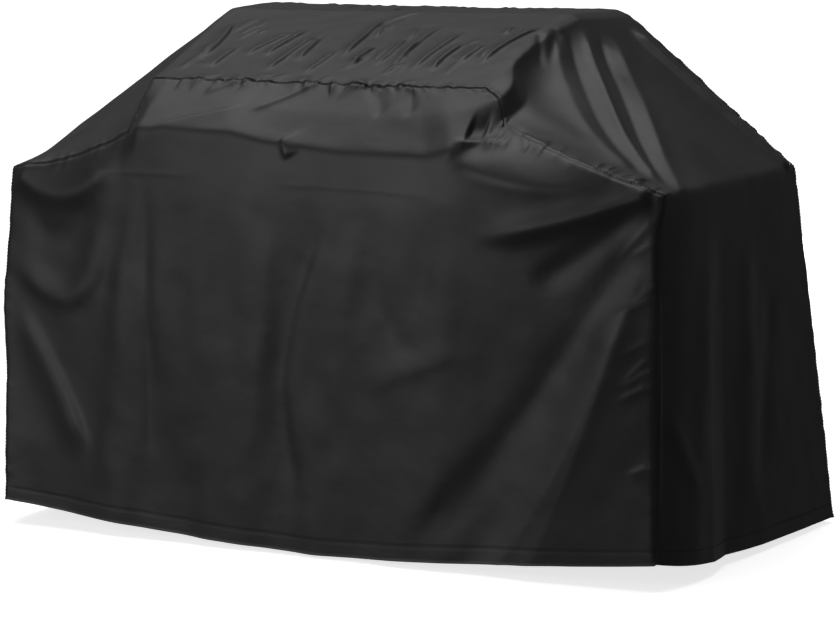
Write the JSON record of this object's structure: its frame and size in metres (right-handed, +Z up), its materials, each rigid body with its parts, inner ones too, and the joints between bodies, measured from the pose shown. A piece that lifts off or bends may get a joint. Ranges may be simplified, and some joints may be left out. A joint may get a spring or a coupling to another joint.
{
  "type": "grill cover",
  "caption": "Fitted black fabric weather cover for a cart grill: stepped box shape with sloping shoulders, sewn front and back seams, hemmed open bottom.",
  "frame": {"origin": "on the ground, under the middle of the hem (centre of the bounding box's bottom face)", "axes": "+X to the right along the cover's length, +Y to the back, +Z up; the lid's front is on -Y"},
  "size_m": [1.441, 0.751, 0.9701],
  "materials": {
    "cover_fabric": "black coated polyester, soft sheen",
    "seam_binding": "black woven polyester tape, matte",
    "thread": "black bonded polyester thread"
  },
  "bodies": {
    "root": {"back_hem": "cover_fabric", "back_hem_stitching": "thread", "back_panel": "cover_fabric", "back_seam_binding": "seam_binding", "back_seam_stitching": "thread", "front_hem": "cover_fabric", "front_hem_stitching": "thread", "front_lid_panel": "cover_fabric", "front_seam_binding": "seam_binding", "front_seam_stitching": "thread", "front_skirt_panel": "cover_fabric", "left_end_panel": "cover_fabric", "left_hem": "cover_fabric", "left_hem_stitching": "thread", "left_shoulder_panel": "cover_fabric", "right_end_panel": "cover_fabric", "right_hem": "cover_fabric", "right_hem_stitching": "thread", "right_shoulder_panel": "cover_fabric", "top_panel": "cover_fabric"}
  },
  "joints": []
}
